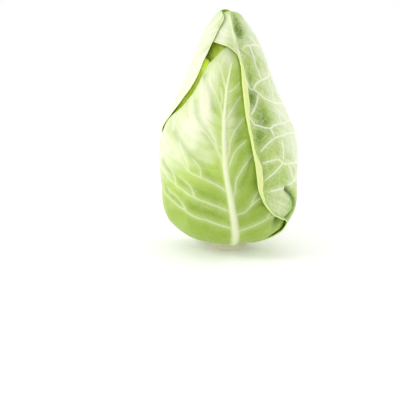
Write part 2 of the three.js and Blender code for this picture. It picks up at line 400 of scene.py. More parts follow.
class Leaf:
    """Where a leaf lies on the head: its margins and midrib, its layer, and its bumps."""

    def __init__(self, layer, low, midrib, high, tip=None, swells=(), creases=(), wax=(), bare=(),
                 pucker=0.0, seed=1):
        self.depth = layer * LAYER_PITCH
        self.swells = swells
        self.creases = creases
        self.wax = wax
        self.bare = np.array(bare or [(0, -720, 720)], float)
        self.pucker = pucker
        self.seed = seed
        lowest = centre_height - self.depth - BLADE_SPACE
        self.foot = math.asin((stalk_radius + FOOT_GAP) / lowest) - math.pi / 2
        self.low = self.direction_line(low, tip)
        self.midrib = self.direction_line(midrib, tip)
        self.high = self.direction_line(high, tip)

    def direction_line(self, line, tip):
        """A line of azimuth and elevation from the stalk to the tip of the leaf."""
        foot_azimuth, *places = line
        end = tip or (places[-1][0], head_height / MM)
        spots = [(math.radians(a), float(elevation_at(h * MM))) for a, h in [*places, end]]
        return flowing([(math.radians(foot_azimuth), self.foot)] + spots, 400, (TURN_WEIGHT, 1))

    def at(self, line, along):
        steps = np.linspace(0, 1, len(line))
        return np.stack([np.interp(along, steps, line[:, i]) for i in (0, 1)], -1)

    def place(self, across, along):
        """Azimuth and elevation: across is -1 and 1 at the margins, along is 1 at the tip."""
        middle = self.at(self.midrib, along)
        side = np.where((across < 0)[..., None], self.at(self.low, along), self.at(self.high, along))
        return middle + (side - middle) * np.abs(across)[..., None]

    def inner_reach(self, spots):
        """How far the inner face of the blade is from the centre."""
        azimuth, elevation = spots[..., 0], spots[..., 1]
        reach = head_reach(elevation) - self.depth - BLADE_SPACE
        for middle, level, wide, tall, rise in self.swells:
            reach = reach + rise * MM * self.spot(spots, middle, level, wide, tall)
        bed = from_centre(azimuth, elevation, reach)
        for path, half_width, rise in self.creases:
            near = distance_to(bed, self.on_bed(path))
            reach = reach + rise * MM * np.exp(-(near / (half_width * MM)) ** 2)
        if self.pucker:
            blisters = np.clip(0.5 + 0.5 * lumps(bed, BLISTER, self.seed), 0, 1.2)
            blisters += SMALL_SHARE * lumps(bed, SMALL_BLISTER, self.seed + 50)
            reach = reach + self.pucker * MM * blisters * self.bare_share(spots)
        return reach

    def spot(self, spots, middle, level, wide, tall):
        """1 at an azimuth and height, fading to 0 over a width in degrees and a height in mm."""
        across = (np.degrees(spots[..., 0]) - middle) / wide
        up = (height_at(spots[..., 1]) / MM - level) / tall
        return np.exp(-(across**2) - up**2)

    def bare_share(self, spots):
        """1 where no other leaf covers this one, 0 under cover."""
        height = height_at(spots[..., 1]) / MM
        start, end = (np.radians(np.interp(height, self.bare[:, 0], self.bare[:, i])) for i in (1, 2))
        room = np.minimum(spots[..., 0] - start, end - spots[..., 0])
        return np.clip(room / FADE + 0.5, 0, 1)

    def bloom_light_and_shade_share(self, spots):
        """How much pale wax bloom the blade carries, up to 1; on lit sides this paleness is painted light.
        Below 0 it is painted shade, a deeper green.
        """
        share = np.zeros(spots.shape[:-1])
        for middle, level, wide, tall, amount in self.wax:
            share += amount * self.spot(spots, middle, level, wide, tall)
        return np.clip(share, -1, 1)

    def hollow_shade_share(self, spots):
        """How deep a place lies, as the share of painted shade it gets: up to 1 in a hollow of the blade,
        and up to 2 in a fold.
        """
        share = np.zeros(spots.shape[:-1])
        for middle, level, wide, tall, rise in self.swells:
            share += max(0, -rise) * MM / FULL_SHADE_DEPTH * self.spot(spots, middle, level, wide, tall)
        share = np.clip(share, 0, 1)
        bed = from_centre(spots[..., 0], spots[..., 1], head_reach(spots[..., 1]) - self.depth - BLADE_SPACE)
        for path, half_width, rise in self.creases:
            if rise < 0:
                near = distance_to(bed, self.on_bed(path))
                share -= rise * MM / FULL_SHADE_DEPTH * np.exp(-(near / (half_width * MM)) ** 2)
        return np.clip(share, 0, 2)

    def on_bed(self, path):
        """Points under a path of azimuth and height, on the plain outline of this layer."""
        spots = flowing([(math.radians(a), float(elevation_at(h * MM))) for a, h in path], 80)
        return from_centre(spots[:, 0], spots[:, 1], head_reach(spots[:, 1]) - self.depth - BLADE_SPACE)

    def on_outside(self, spots):
        """Points on the outer face of the blade."""
        return from_centre(spots[..., 0], spots[..., 1], self.inner_reach(spots) + BLADE)


def distance_to(points, line):
    """How far each point is from a line of close points."""
    nearest = np.full(points.shape[:-1], np.inf)
    for spot in line:
        nearest = np.minimum(nearest, np.linalg.norm(points - spot, axis=-1))
    return nearest


def edge_columns(half_width, columns):
    """Shares of half a blade, from the midrib out, closer together at the margin."""
    edge = np.minimum(EDGE_STEPS[None, :], half_width[:, None] * np.linspace(0.5, 0, len(EDGE_STEPS)))
    edge_shares = 1 - edge / half_width[:, None]
    inside = np.linspace(0, 1, columns, endpoint=False)[1:] * edge_shares[:, :1]
    return np.concatenate([inside, edge_shares], 1)


def lowest_near(values):
    """The lowest value within one coarse face of each place, except near the margins.
    It keeps the coarse inner face of a leaf under the fine outer one in a steep fold."""
    rows, columns = values.shape
    padded = np.pad(values, ((INNER_ROW_STEP,) * 2, (INNER_COLUMN_STEP,) * 2), mode="edge")
    lowest = values.copy()
    for down in range(2 * INNER_ROW_STEP + 1):
        for over in range(2 * INNER_COLUMN_STEP + 1):
            lowest = np.minimum(lowest, padded[down:down + rows, over:over + columns])
    lowest[:, :EDGE_COLUMNS] = values[:, :EDGE_COLUMNS]
    lowest[:, -EDGE_COLUMNS:] = values[:, -EDGE_COLUMNS:]
    return lowest


def leaf_sheet(leaf, rolls, grid):
    """The outer and inner faces of a leaf as grids of points, with its rolled margins."""
    rows, columns = grid
    even = np.linspace(0, 1, rows + 1)[:-1]
    along = even - 0.09 * np.sin(2 * math.pi * even)
    halves = []
    for side in (-1, 1):
        ends = np.stack([leaf.place(np.full(rows, s), along) for s in (0.0, float(side))])
        ends = from_centre(ends[..., 0], ends[..., 1], head_reach(ends[..., 1]))
        shares = edge_columns(np.linalg.norm(ends[1] - ends[0], axis=1) + 0.5 * MM, columns)
        halves.append(side * shares)
    across = np.concatenate([halves[0][:, ::-1], np.zeros((rows, 1)), halves[1]], 1)
    along_grid = np.repeat(along[:, None], across.shape[1], 1)
    spots = leaf.place(across, along_grid)
    inner_reach = leaf.inner_reach(spots)
    plain_reach = head_reach(spots[..., 1]) - leaf.depth - BLADE_SPACE
    sunk_reach = plain_reach + lowest_near(inner_reach - plain_reach)
    inner = from_centre(spots[..., 0], spots[..., 1], sunk_reach)
    outer = from_centre(spots[..., 0], spots[..., 1], inner_reach + BLADE)
    across_at, along_at = across, along_grid
    for side, roll in zip((-1, 1), rolls):
        height = height_at(leaf.place(np.full(rows, float(side)), along)[:, 1]) / MM
        outer, inner = add_roll(outer, inner, side, roll, along, height)
    pad = ((0, 0), (ROLL_COLUMNS, ROLL_COLUMNS))
    across_at = np.pad(across_at, pad, mode="edge")
    along_at = np.pad(along_at, pad, mode="edge")
    return outer, inner, across_at, along_at


def add_roll(outer, inner, side, roll, along, height):
    """Rolls the margin of a leaf outwards: an arc of a radius and angle, then a flat tail.
    roll gives them, in millimetres and degrees, at some heights on the head."""
    stations = np.array(roll, float)
    radius, angle, tail = (np.interp(height, stations[:, 0], stations[:, i]) for i in (1, 2, 3))
    ends = np.clip(np.minimum(along, 1 - along) / TAPER, 0.02, 1)
    radius, tail = radius * MM * ends, tail * MM * ends
    angle = np.radians(angle) * ends
    last, before = (0, 3) if side < 0 else (-1, -4)
    middle = (outer[:, last] + inner[:, last]) / 2
    out = outer[:, last] - inner[:, last]
    out /= np.linalg.norm(out, axis=1)[:, None]
    forward = middle - (outer[:, before] + inner[:, before]) / 2
    runs = np.gradient(middle, axis=0)
    runs /= np.linalg.norm(runs, axis=1)[:, None]
    forward -= runs * np.sum(forward * runs, 1)[:, None]
    forward /= np.linalg.norm(forward, axis=1)[:, None] + 1e-9
    out = out - forward * np.sum(out * forward, 1)[:, None]
    out /= np.linalg.norm(out, axis=1)[:, None]
    forward = smoothed(forward)
    out = smoothed(out)
    outer_columns, inner_columns = [], []
    arc_columns = ROLL_COLUMNS - 3
    for step in range(1, ROLL_COLUMNS + 1):
        turn = angle * min(1.0, step / arc_columns)
        past = tail * max(0.0, (step - arc_columns) / (ROLL_COLUMNS - arc_columns))
        spine = (middle + forward * (radius * np.sin(turn) + past * np.cos(turn))[:, None]
                 + out * (radius * (1 - np.cos(turn)) + past * np.sin(turn))[:, None])
        face = out * np.cos(turn)[:, None] - forward * np.sin(turn)[:, None]
        thick = BLADE / 2 * (0.35 if step == ROLL_COLUMNS else 1.0)
        outer_columns.append(spine + face * thick)
        inner_columns.append(spine - face * thick)
    order = slice(None, None, -1) if side < 0 else slice(None)
    new_outer = np.stack(outer_columns[order], 1)
    new_inner = np.stack(inner_columns[order], 1)
    if side < 0:
        return np.concatenate([new_outer, outer], 1), np.concatenate([new_inner, inner], 1)
    return np.concatenate([outer, new_outer], 1), np.concatenate([inner, new_inner], 1)


def smoothed(directions):
    """Unit directions along a margin, averaged with their neighbours."""
    for _ in range(6):
        padded = np.concatenate([directions[:1], directions, directions[-1:]])
        directions = (padded[:-2] + 2 * padded[1:-1] + padded[2:]) / 4
    return directions / np.linalg.norm(directions, axis=1)[:, None]


def shell_faces(rows, columns):
    """The faces of a closed shell from an outer grid, an inner grid and one tip on each.
    The inner face is fine only near the margins, where it can be seen."""
    index = np.arange(rows * columns).reshape(rows, columns)
    outer, inner = index, index + rows * columns
    outer_tip, inner_tip = 2 * rows * columns, 2 * rows * columns + 1
    strip = ROLL_COLUMNS + 4
    quads = np.stack([outer[:-1, :-1], outer[:-1, 1:], outer[1:, 1:], outer[1:, :-1]], -1)
    parts = [quads.reshape(-1, 4)]
    for part in (inner[:, :strip + 1], inner[:, -strip - 1:]):
        quads = np.stack([part[:-1, :-1], part[1:, :-1], part[1:, 1:], part[:-1, 1:]], -1)
        parts.append(quads.reshape(-1, 4))
    parts += [
        np.stack([outer[:-1, 0], outer[1:, 0], inner[1:, 0], inner[:-1, 0]], -1),
        np.stack([outer[:-1, -1], inner[:-1, -1], inner[1:, -1], outer[1:, -1]], -1),
        np.stack([outer[0, :-1], inner[0, :-1], inner[0, 1:], outer[0, 1:]], -1),
    ]
    faces = np.concatenate(parts).tolist()
    row_cuts = [*range(0, rows - 1, INNER_ROW_STEP), rows - 1]
    column_cuts = [*range(strip, columns - 1 - strip, INNER_COLUMN_STEP), columns - 1 - strip]
    for low, high in zip(row_cuts, row_cuts[1:]):
        for left, right in zip(column_cuts, column_cuts[1:]):
            up = range(low, high) if left == strip else [low]
            over = range(left, right) if high == rows - 1 else [left]
            down = range(high, low, -1) if right == columns - 1 - strip else [high]
            home = range(right, left, -1) if low == 0 else [right]
            faces.append([inner[row, left] for row in up] + [inner[high, column] for column in over]
                         + [inner[row, right] for row in down] + [inner[low, column] for column in home])
    for column in range(columns - 1):
        faces.append((outer[-1, column], outer[-1, column + 1], outer_tip))
        faces.append((inner[-1, column + 1], inner[-1, column], inner_tip))
    faces.append((outer[-1, 0], outer_tip, inner_tip, inner[-1, 0]))
    faces.append((outer[-1, -1], inner[-1, -1], inner_tip, outer_tip))
    return [tuple(int(i) for i in face) for face in faces]


def leaf_piece(name, leaf, rolls, grid=PLAIN_GRID):
    """A closed leaf with values on its points, for the vein tree and the leaf's finish."""
    outer, inner, across, along = leaf_sheet(leaf, rolls, grid)
    spots = leaf.place(across, along)
    tip = leaf.place(np.zeros(1), np.ones(1))
    tip_reach = leaf.inner_reach(tip)
    tips = np.concatenate([from_centre(tip[:, 0], tip[:, 1], tip_reach + BLADE),
                           from_centre(tip[:, 0], tip[:, 1], tip_reach)])
    rows, columns = across.shape
    points = np.concatenate([outer.reshape(-1, 3), inner.reshape(-1, 3), tips])
    outside = np.zeros((2, rows, columns))
    outside[0, :, ROLL_COLUMNS:-ROLL_COLUMNS] = leaf.bare_share(spots)[:, ROLL_COLUMNS:-ROLL_COLUMNS]
    edge = np.zeros((2, rows, columns))
    ramp_in = np.linspace(1, 0, ROLL_COLUMNS + 3)
    edge[:, :, :ROLL_COLUMNS + 3] = ramp_in
    edge[:, :, -ROLL_COLUMNS - 3:] = ramp_in[::-1]
    back_side = np.zeros((2, rows, columns))
    back_side[1] = 1

    faces = shell_faces(rows, columns)
    used = np.unique(np.concatenate([np.array(face) for face in faces]))
    new_index = np.zeros(len(points), int)
    new_index[used] = np.arange(len(used))
    faces = [tuple(new_index[list(face)].tolist()) for face in faces]

    def kept(values):
        return np.append(np.broadcast_to(values, (2, rows, columns)).reshape(-1), [0, 0])[used]

    return solid(name, points[used], faces, across=kept(across), along=kept(along),
                 outside=kept(outside), edge=kept(edge), back_side=kept(back_side),
                 # The last two values paint light and shade into the skin: paler bloom where lit, painted
                 # shade in shaded spots, hollows and folds.
                 wax=kept(leaf.bloom_light_and_shade_share(spots)), sunk=kept(leaf.hollow_shade_share(spots)))


def vein_skeleton(name, lines):
    """Edges along the veins. A line is its points in space with its half width and rise at each end."""
    points, edges, widths, rises = [], [], [], []
    for line, (wide_start, wide_end), (rise_start, rise_end) in lines:
        count = max(4, int(np.linalg.norm(np.diff(line, axis=0), axis=1).sum() / (0.7 * MM)))
        start = len(points)
        points.extend(flowing(line, count).tolist())
        edges.extend((start + i, start + i + 1) for i in range(count - 1))
        fade = np.clip(np.linspace(count * 0.14, 0, count), 0.15, 1)
        widths.extend(np.linspace(wide_start, wide_end, count) * np.sqrt(fade) * MM)
        rises.extend(np.linspace(rise_start, rise_end, count) * fade * MM)
    mesh = bpy.data.meshes.new(name)
    mesh.from_pydata(points, edges, [])
    for key, values in (("half_width", widths), ("rise", rises)):
        mesh.attributes.new(key, "FLOAT", "POINT").data.foreach_set("value", values)
    skeleton = bpy.data.objects.new(name, mesh)
    bpy.context.collection.objects.link(skeleton)
    return skeleton


def raised_vein_tree():
    """Geometry nodes that lift the outside of a leaf in a soft ridge over a vein skeleton."""
    tree = bpy.data.node_groups.new("raised veins", "GeometryNodeTree")
    for name, kind in (("Leaf", "Geometry"), ("Veins", "Object"), ("Kept as", "String"),
                       ("Finish", "Material")):
        tree.interface.new_socket(name, in_out="INPUT", socket_type="NodeSocket" + kind)
    tree.interface.new_socket("Leaf", in_out="OUTPUT", socket_type="NodeSocketGeometry")

    def add(kind, settings=(), **links):
        node = tree.nodes.new(kind)
        for key, value in dict(settings).items():
            setattr(node, key, value)
        for key, value in links.items():
            socket = node.inputs[int(key[1:]) if key[1:].isdigit() else key.replace("_", " ")]
            if isinstance(value, bpy.types.NodeSocket):
                tree.links.new(value, socket)
            else:
                socket.default_value = value
        return node

    def maths(operation, first, second=0.0):
        return add("ShaderNodeMath", {"operation": operation}, i0=first, i1=second).outputs[0]

    given = add("NodeGroupInput").outputs
    veins = add("GeometryNodeObjectInfo", Object=given["Veins"]).outputs["Geometry"]
    near = add("GeometryNodeProximity", {"target_element": "EDGES"}, i0=veins).outputs["Distance"]
    nearest = add("GeometryNodeSampleNearest", {"domain": "POINT"}, i0=veins).outputs["Index"]

    def of_vein(name):
        value = add("GeometryNodeInputNamedAttribute", {"data_type": "FLOAT"}, Name=name).outputs[0]
        sample = add("GeometryNodeSampleIndex", {"data_type": "FLOAT", "domain": "POINT"},
                     Geometry=veins, Value=value, Index=nearest)
        return sample.outputs[0]

    share = maths("DIVIDE", near, of_vein("half_width"))
    ridge = maths("EXPONENT", maths("MULTIPLY", maths("MULTIPLY", share, share), -1.0))
    outside = add("GeometryNodeInputNamedAttribute", {"data_type": "FLOAT"}, Name="outside").outputs[0]
    ridge = maths("MULTIPLY", ridge, outside)
    lift = maths("MULTIPLY", ridge, of_vein("rise"))
    normal = add("GeometryNodeInputNormal").outputs[0]
    offset = add("ShaderNodeVectorMath", {"operation": "SCALE"}, Vector=normal, Scale=lift).outputs[0]
    moved = add("GeometryNodeSetPosition", Geometry=given["Leaf"], Offset=offset).outputs[0]
    kept = add("GeometryNodeStoreNamedAttribute", {"data_type": "FLOAT", "domain": "POINT"},
               Geometry=moved, Name=given["Kept as"], Value=ridge).outputs[0]
    real = add("GeometryNodeRealizeInstances", i0=kept).outputs[0]
    finished = add("GeometryNodeSetMaterial", Geometry=real, Material=given["Finish"]).outputs[0]
    tree.links.new(finished, add("NodeGroupOutput").inputs[0])
    return tree


vein_tree = raised_vein_tree()


FURROW_SPREAD = 3.2     # half widths of a vein
FURROW_MARGIN = 1.2     # mm
FURROW_DEPTH = 0.45     # rises of a vein


def raise_net(piece, lines, material):
    """Side veins as cords, each in the soft furrow where it pulls the blade in."""
    furrows = []
    for line, wide, rise in lines:
        half_widths = [FURROW_SPREAD * width + FURROW_MARGIN for width in wide]
        furrows.append((line, half_widths, [-FURROW_DEPTH * up for up in rise]))
    raise_veins(piece, furrows, "halo", material)
    raise_veins(piece, lines, "vein", material)


def raise_veins(piece, lines, kept_as, material):
    """Runs the vein tree on a leaf and turns the result into a plain mesh."""
    skeleton = vein_skeleton(piece.name + "_veins", lines)
    modifier = piece.modifiers.new("raised veins", "NODES")
    modifier.node_group = vein_tree
    inputs = {s.name: s.identifier for s in vein_tree.interface.items_tree if s.in_out == "INPUT"}
    modifier[inputs["Veins"]] = skeleton
    modifier[inputs["Kept as"]] = kept_as
    modifier[inputs["Finish"]] = material
    evaluated = piece.evaluated_get(bpy.context.evaluated_depsgraph_get())
    mesh = bpy.data.meshes.new_from_object(evaluated)
    piece.modifiers.remove(modifier)
    piece.data = mesh
    bpy.data.objects.remove(skeleton)


def rib_line(leaf, wide, rise, end=0.96):
    """The midrib, thick where it leaves the stalk and thin at the tip."""
    along = np.linspace(0.0, end, 60)
    line = leaf.on_outside(leaf.place(np.zeros(60), along))
    return [(line, wide, rise)]


def vein_net(leaf, count, seed, wide, rise, sides=(-1, 1)):
    """Side veins that climb from the midrib and fork, with finer cross veins between them."""
    dice = np.random.default_rng(seed)
    thin, low = (wide[1], 0.85 * wide[1]), (0.6 * rise[1], 0.4 * rise[1])
    lines = []
    for side in sides:
        veins = []
        for start in np.linspace(0.05, 0.93, count) + dice.uniform(-0.02, 0.02, count) + 0.015 * side:
            steps = np.linspace(0.03, 0.96, 10)
            climb = dice.uniform(0.18, 0.30) * (1 - start) * steps**dice.uniform(0.7, 1.1)
            veins.append((side * steps, start + climb + np.cumsum(dice.normal(0, 0.004, 10))))
        for across, along in veins:
            lines.append((leaf.on_outside(leaf.place(across, np.clip(along, 0, 0.99))), wide, rise))
            fork = int(dice.integers(3, 7))
            turn = dice.uniform(0.10, 0.30)
            branch = along[fork] + (np.abs(across[fork:]) - abs(across[fork])) * turn
            lines.append((leaf.on_outside(leaf.place(across[fork:], np.clip(branch, 0, 0.99))), thin, low))
        for (across, below), (_, above) in zip(veins, veins[1:]):
            for start in np.cumsum(dice.uniform(0.07, 0.24, 6)):
                share = np.linspace(0, 1, 6)
                bow = dice.uniform(-0.03, 0.03) * np.sin(math.pi * share)
                out = start + dice.uniform(-0.12, 0.14) * share + bow + dice.normal(0, 0.006, 6)
                foot = np.interp(out, np.abs(across), below)
                head = np.interp(out, np.abs(across), above)
                along = np.clip(foot + (head - foot) * share, 0, 0.99)
                spots = leaf.place(side * np.clip(out, 0.02, 0.97), along)
                lines.append((leaf.on_outside(spots), thin, low))
    return lines


def chosen_veins(leaf, paths, wide, rise):
    """Veins through chosen points of azimuth and height, thick at their first point."""
    lines = []
    for path in paths:
        spots = np.array([(math.radians(a), float(elevation_at(h * MM))) for a, h in path])
        lines.append((leaf.on_outside(flowing(spots, 6 * len(path))), wide, rise))
    return lines


# Painted shade for the hollows and the folds of a blade.
HOLLOW_SHADE_GREEN = (0.15, 0.27, 0.005, 1)
FOLD_SHADE_GREEN = (0.03, 0.08, 0.002, 1)
NET_PALE = (0.80, 0.86, 0.60, 1)
FOOT_PALE = (0.78, 0.84, 0.56, 1)
VEIN_PALE = (0.82, 0.87, 0.64, 1)
RIB_PALE = (0.84, 0.87, 0.62, 1)
EDGE_PALE = (0.84, 0.90, 0.46, 1)
NET_CELL = 8 * MM
FINE_CELL = 2.6 * MM


def leaf_finish(name, green, deep, painted_shade_green, bloom_and_lit_pale, pale, back, rough, net_share, vein_share, relief):
    """A leaf's skin: green blade, pale along veins, with a bloom of wax that is painted paler where light
    falls, and painted shade in shaded spots, hollows and folds.
    """
    skin = Finish(name)
    warp = skin.node("ShaderNodeTexNoise", {}, Vector=skin.place(), Scale=1 / (11 * MM), output="Color")
    warp = skin.node("ShaderNodeVectorMath", {"operation": "SCALE"}, warp, Scale=7 * MM)
    shifted = skin.node("ShaderNodeVectorMath", {"operation": "ADD"}, skin.place(), warp)
    cells = skin.node("ShaderNodeTexVoronoi", {"feature": "DISTANCE_TO_EDGE"}, Vector=shifted,
                      Scale=1 / NET_CELL)
    net = 1 - skin.ramp(cells, 0.0, 0.07)
    fine_cells = skin.node("ShaderNodeTexVoronoi", {"feature": "DISTANCE_TO_EDGE"}, Vector=shifted,
                           Scale=1 / FINE_CELL)
    fine_net = 1 - skin.ramp(fine_cells, 0.0, 0.16)
    out = skin.node("ShaderNodeMath", {"operation": "ABSOLUTE"}, skin.kept("across"))
    slant = skin.node("ShaderNodeCombineXYZ", {}, out * 1.6 + skin.kept("across") * 0.3,
                      (skin.kept("along") - out * 0.2) * 34, 0.0)
    streaks = skin.node("ShaderNodeTexNoise", {}, Vector=slant, Scale=1.0, Detail=5.0, Roughness=0.6,
                        Distortion=0.35)
    patches = skin.noise(20 * MM, 5.0, 0.6) * 0.5 + streaks * 0.5
    blade = skin.mixed(skin.ramp(patches, 0.36, 0.64), deep, green)
    cloud = skin.ramp(skin.noise(12 * MM, 5.0, 0.62), 0.25, 0.75)
    # Wax bloom, painted paler in spots where light falls (painted light); below 0 the spots get painted
    # shade in a deeper green.
    wax = skin.kept("wax") * (0.55 + 0.45 * cloud + 0.5 * skin.ramp(streaks, 0.35, 0.65))
    blade = skin.mixed(wax.held(), blade, bloom_and_lit_pale)
    blade = skin.mixed((0 - wax).held() * 0.75, blade, painted_shade_green)
    # Painted shade in the hollows of the blade.
    blade = skin.mixed(skin.kept("sunk").held() * 0.92, blade, HOLLOW_SHADE_GREEN)
    blade = skin.mixed(skin.kept("halo") * 0.3, blade, pale)
    blade = skin.mixed((net * 0.65 + fine_net * 0.35) * net_share, blade, NET_PALE)
    blade = skin.mixed((1 - skin.ramp(skin.kept("along"), 0.0, 0.12)) * 0.6, blade, FOOT_PALE)
    blade = skin.mixed(skin.ramp(skin.kept("vein"), 0.1, 0.8) * vein_share, blade, VEIN_PALE)
    blade = skin.mixed(skin.ramp(skin.kept("rib"), 0.15, 0.8) * 0.85, blade, RIB_PALE)
    blade = skin.mixed(skin.kept("back_side") * 0.8, blade, back)
    blade = skin.mixed(skin.kept("edge") * 0.75, blade, EDGE_PALE)
    ripples = net * 0.5 + fine_net * 0.2 + skin.noise(1.1 * MM, 2.0) * 0.15 + streaks * 1.6
    # Darker painted shade deep in the folds.
    blade = skin.mixed((skin.kept("sunk") - 1.0).held(), blade, FOLD_SHADE_GREEN)
    skin.set(Base_Color=blade, Roughness=rough + (skin.noise(4 * MM) - 0.5) * 0.25,
             Normal=skin.bump(ripples, relief, 0.5))
    skin.shader.inputs["Specular IOR Level"].default_value = 0.3
    skin.shader.inputs["Subsurface Weight"].default_value = 0.25
    skin.shader.inputs["Subsurface Radius"].default_value = (0.6, 1.0, 0.12)
    skin.shader.inputs["Subsurface Scale"].default_value = 2.5 * MM
    return skin.material


FLAT_ROLL = [(0, 1.0, 35, 0.3), (head_height / MM, 1.0, 35, 0.3)]
inner_skin = leaf_finish(
    "inner leaf skin",
    green=(0.66, 0.84, 0.04, 1), deep=(0.56, 0.78, 0.01, 1), painted_shade_green=(0.26, 0.42, 0.01, 1),
    bloom_and_lit_pale=(0.72, 0.84, 0.22, 1), pale=(0.68, 0.84, 0.14, 1), back=(0.56, 0.70, 0.10, 1),
    rough=0.42, net_share=0.08, vein_share=0.4, relief=0.15 * MM,
)

inner_right = Leaf(
    5, low=[20, (-6, 18), (-30, 45), (-45, 90), (-50, 130), (-50, 160), (-55, 182), (-60, 204)],
    midrib=[60, (60, 18), (60, 45), (60, 90), (60, 130), (59, 160), (57, 182), (50, 204)],
    high=[100, (126, 18), (150, 45), (166, 90), (170, 130), (170, 160), (166, 182), (155, 204)],
    # Painted shade where this leaf lies deep under the hood.
    wax=[(-20, 180, 60, 30, -0.7)], pucker=0.5, seed=11,
)
inner_left = Leaf(
    4, low=[-125, (-150, 18), (-166, 45), (-176, 90), (-172, 130), (-160, 160), (-130, 182)],
    midrib=[-85, (-85, 18), (-86, 45), (-88, 90), (-88, 130), (-88, 160), (-89, 182)],
    high=[-45, (-25, 18), (-8, 45), (0, 90), (-2, 130), (-12, 156), (-27, 173), (-44, 179), (-64, 186)],
    tip=(-90, 191),
    creases=[([(-48, 176), (-55, 166), (-61, 154), (-66, 143), (-75, 131), (-83, 123)], 4.6, 7.8)],
    # Painted shade on the top of this leaf, deep in the gap under the wrappers.
    wax=[(-34, 183, 12, 7, -0.8)], pucker=0.5, seed=12,
)
for name, node, leaf, seed in (("inner_right_leaf_blade", "inner_right_leaf", inner_right, 21),
                               ("inner_left_leaf_blade", "inner_left_leaf", inner_left, 22)):
    piece = leaf_piece(name, leaf, (FLAT_ROLL, FLAT_ROLL))
    raise_veins(piece, rib_line(leaf, (3.5, 0.8), (0.9, 0.3)), "rib", inner_skin)
    raise_net(piece, vein_net(leaf, 8, seed, (0.9, 0.45), (0.4, 0.2)), inner_skin)
    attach(piece, "root")
    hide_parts(node)

# ------------------------------------------------------------------ back leaf
# The leaf that closes the back of the head under the two wrappers.
outer_skin = leaf_finish(
    "outer leaf skin",
    green=(0.45, 0.60, 0.11, 1), deep=(0.34, 0.50, 0.05, 1), painted_shade_green=(0.23, 0.36, 0.02, 1),
    bloom_and_lit_pale=(0.74, 0.79, 0.55, 1), pale=(0.70, 0.77, 0.44, 1), back=(0.56, 0.70, 0.16, 1),
    rough=0.36, net_share=0.1, vein_share=0.34, relief=0.2 * MM,
)
back_leaf = Leaf(
    3, low=[145, (122, 16), (99, 40), (86, 70), (80, 100), (84, 130), (94, 155), (110, 175), (140, 192)],
    midrib=[185, (185, 16), (185, 40), (184, 70), (184, 100), (184, 130), (182, 155), (181, 175),
            (180, 192)],
    high=[225, (248, 16), (264, 40), (272, 70), (272, 100), (269, 130), (262, 155), (248, 175), (220, 192)],
    tip=(180, 203), wax=[(200, 60, 120, 90, 0.4)], pucker=0.5, seed=13,
)
piece = leaf_piece("back_leaf_blade", back_leaf, (FLAT_ROLL, FLAT_ROLL))
raise_veins(piece, rib_line(back_leaf, (4.0, 0.8), (1.0, 0.3)), "rib", outer_skin)
raise_net(piece, vein_net(back_leaf, 8, 23, (0.9, 0.45), (0.4, 0.2)), outer_skin)
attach(piece, "root")
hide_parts("back_leaf")

# ------------------------------------------------------------------ front leaf
# The broad leaf in the middle of the front. Its stout midrib stands out all the way up,
# its blade is blistered between the veins, and its tip is tucked under the hood.
FOLD = [(51, 61), (57, 54), (61.5, 46), (61, 39), (55, 34)]
front_leaf = Leaf(
    2, low=[-44, (-80, 13), (-112, 32), (-124, 60), (-118, 85), (-102, 103), (-86, 115), (-68, 127),
            (-54, 138), (-46, 148), (-43, 158), (-40, 168), (-31, 177), (-18, 185)],
    midrib=[7, (5.5, 14), (4, 28), (0.5, 52), (-4.4, 84), (-6, 118), (-6, 134), (-4.5, 151), (-1, 165),
            (4, 182)],
    high=[72, (84, 14), (96, 35), (102, 62), (100, 90), (90, 115), (76, 135), (60, 155), (42, 172),
          (24, 185)],
    tip=(3, 193),
    # Swells and creases below 0 sink the blade and also get painted shade in its skin.
    swells=[(-74, 88, 26, 42, 4.4), (-26, 150, 14, 20, 1.4), (-30, 92, 16, 30, 1.6), (9, 120, 7, 40, -1.6),
            (12, 60, 9, 26, 1.2), (3, 188, 30, 10, -1.0), (60, 46, 14, 18, -1.8)],
    creases=[([(47, 65), *FOLD, (50, 29)], 6.0, -4.2),
             ([(-46, 162), (-48, 150), (-57, 138), (-72, 127), (-88, 116)], 4.0, 1.6),
             ([(-12, 52), (-26, 60), (-48, 70), (-66, 84)], 3.0, -1.2),
             ([(-9, 36), (-24, 42), (-48, 48), (-72, 58)], 3.2, -1.1),
             ([(-14, 72), (-28, 88), (-42, 100), (-58, 112)], 3.0, -1.2),
             ([(-12, 88), (-20, 98), (-30, 108), (-40, 116)], 2.6, 0.9),
             ([(-14, 104), (-24, 118), (-34, 128), (-42, 140)], 2.8, -1.1),
             ([(-16, 134), (-22, 146), (-30, 156), (-38, 164)], 2.4, -0.8),
             ([(8, 66), (14, 78), (17, 90)], 2.2, -1.0),
             ([(8, 40), (18, 46), (30, 50)], 2.4, -0.9)],
    # Spots of pale wax bloom, on the lit left and in the middle also painted light; below 0 painted shade, a
    # broad painted shadow over the foot of the leaf and a little right of the midrib.
    wax=[(-76, 96, 42, 50, 1.0), (-30, 150, 18, 30, 0.8), (-34, 116, 20, 24, 0.5), (-6, 180, 16, 12, 0.7),
         (-18, 92, 8, 12, 0.35), (-3.5, 112, 3, 60, 0.4), (-14, 40, 80, 40, -1.0), (-12, 140, 6, 20, -0.3),
         (20, 70, 12, 40, -0.3), (3, 126, 6, 14, 0.5)],
    bare=[(0, -135, 100), (35, -135, 52), (60, -132, 30), (85, -126, 22), (103, -112, 19), (130, -76, 17),
          (150, -58, 17), (170, -50, 18), (186, -44, 14)],
    pucker=1.5, seed=14,
)
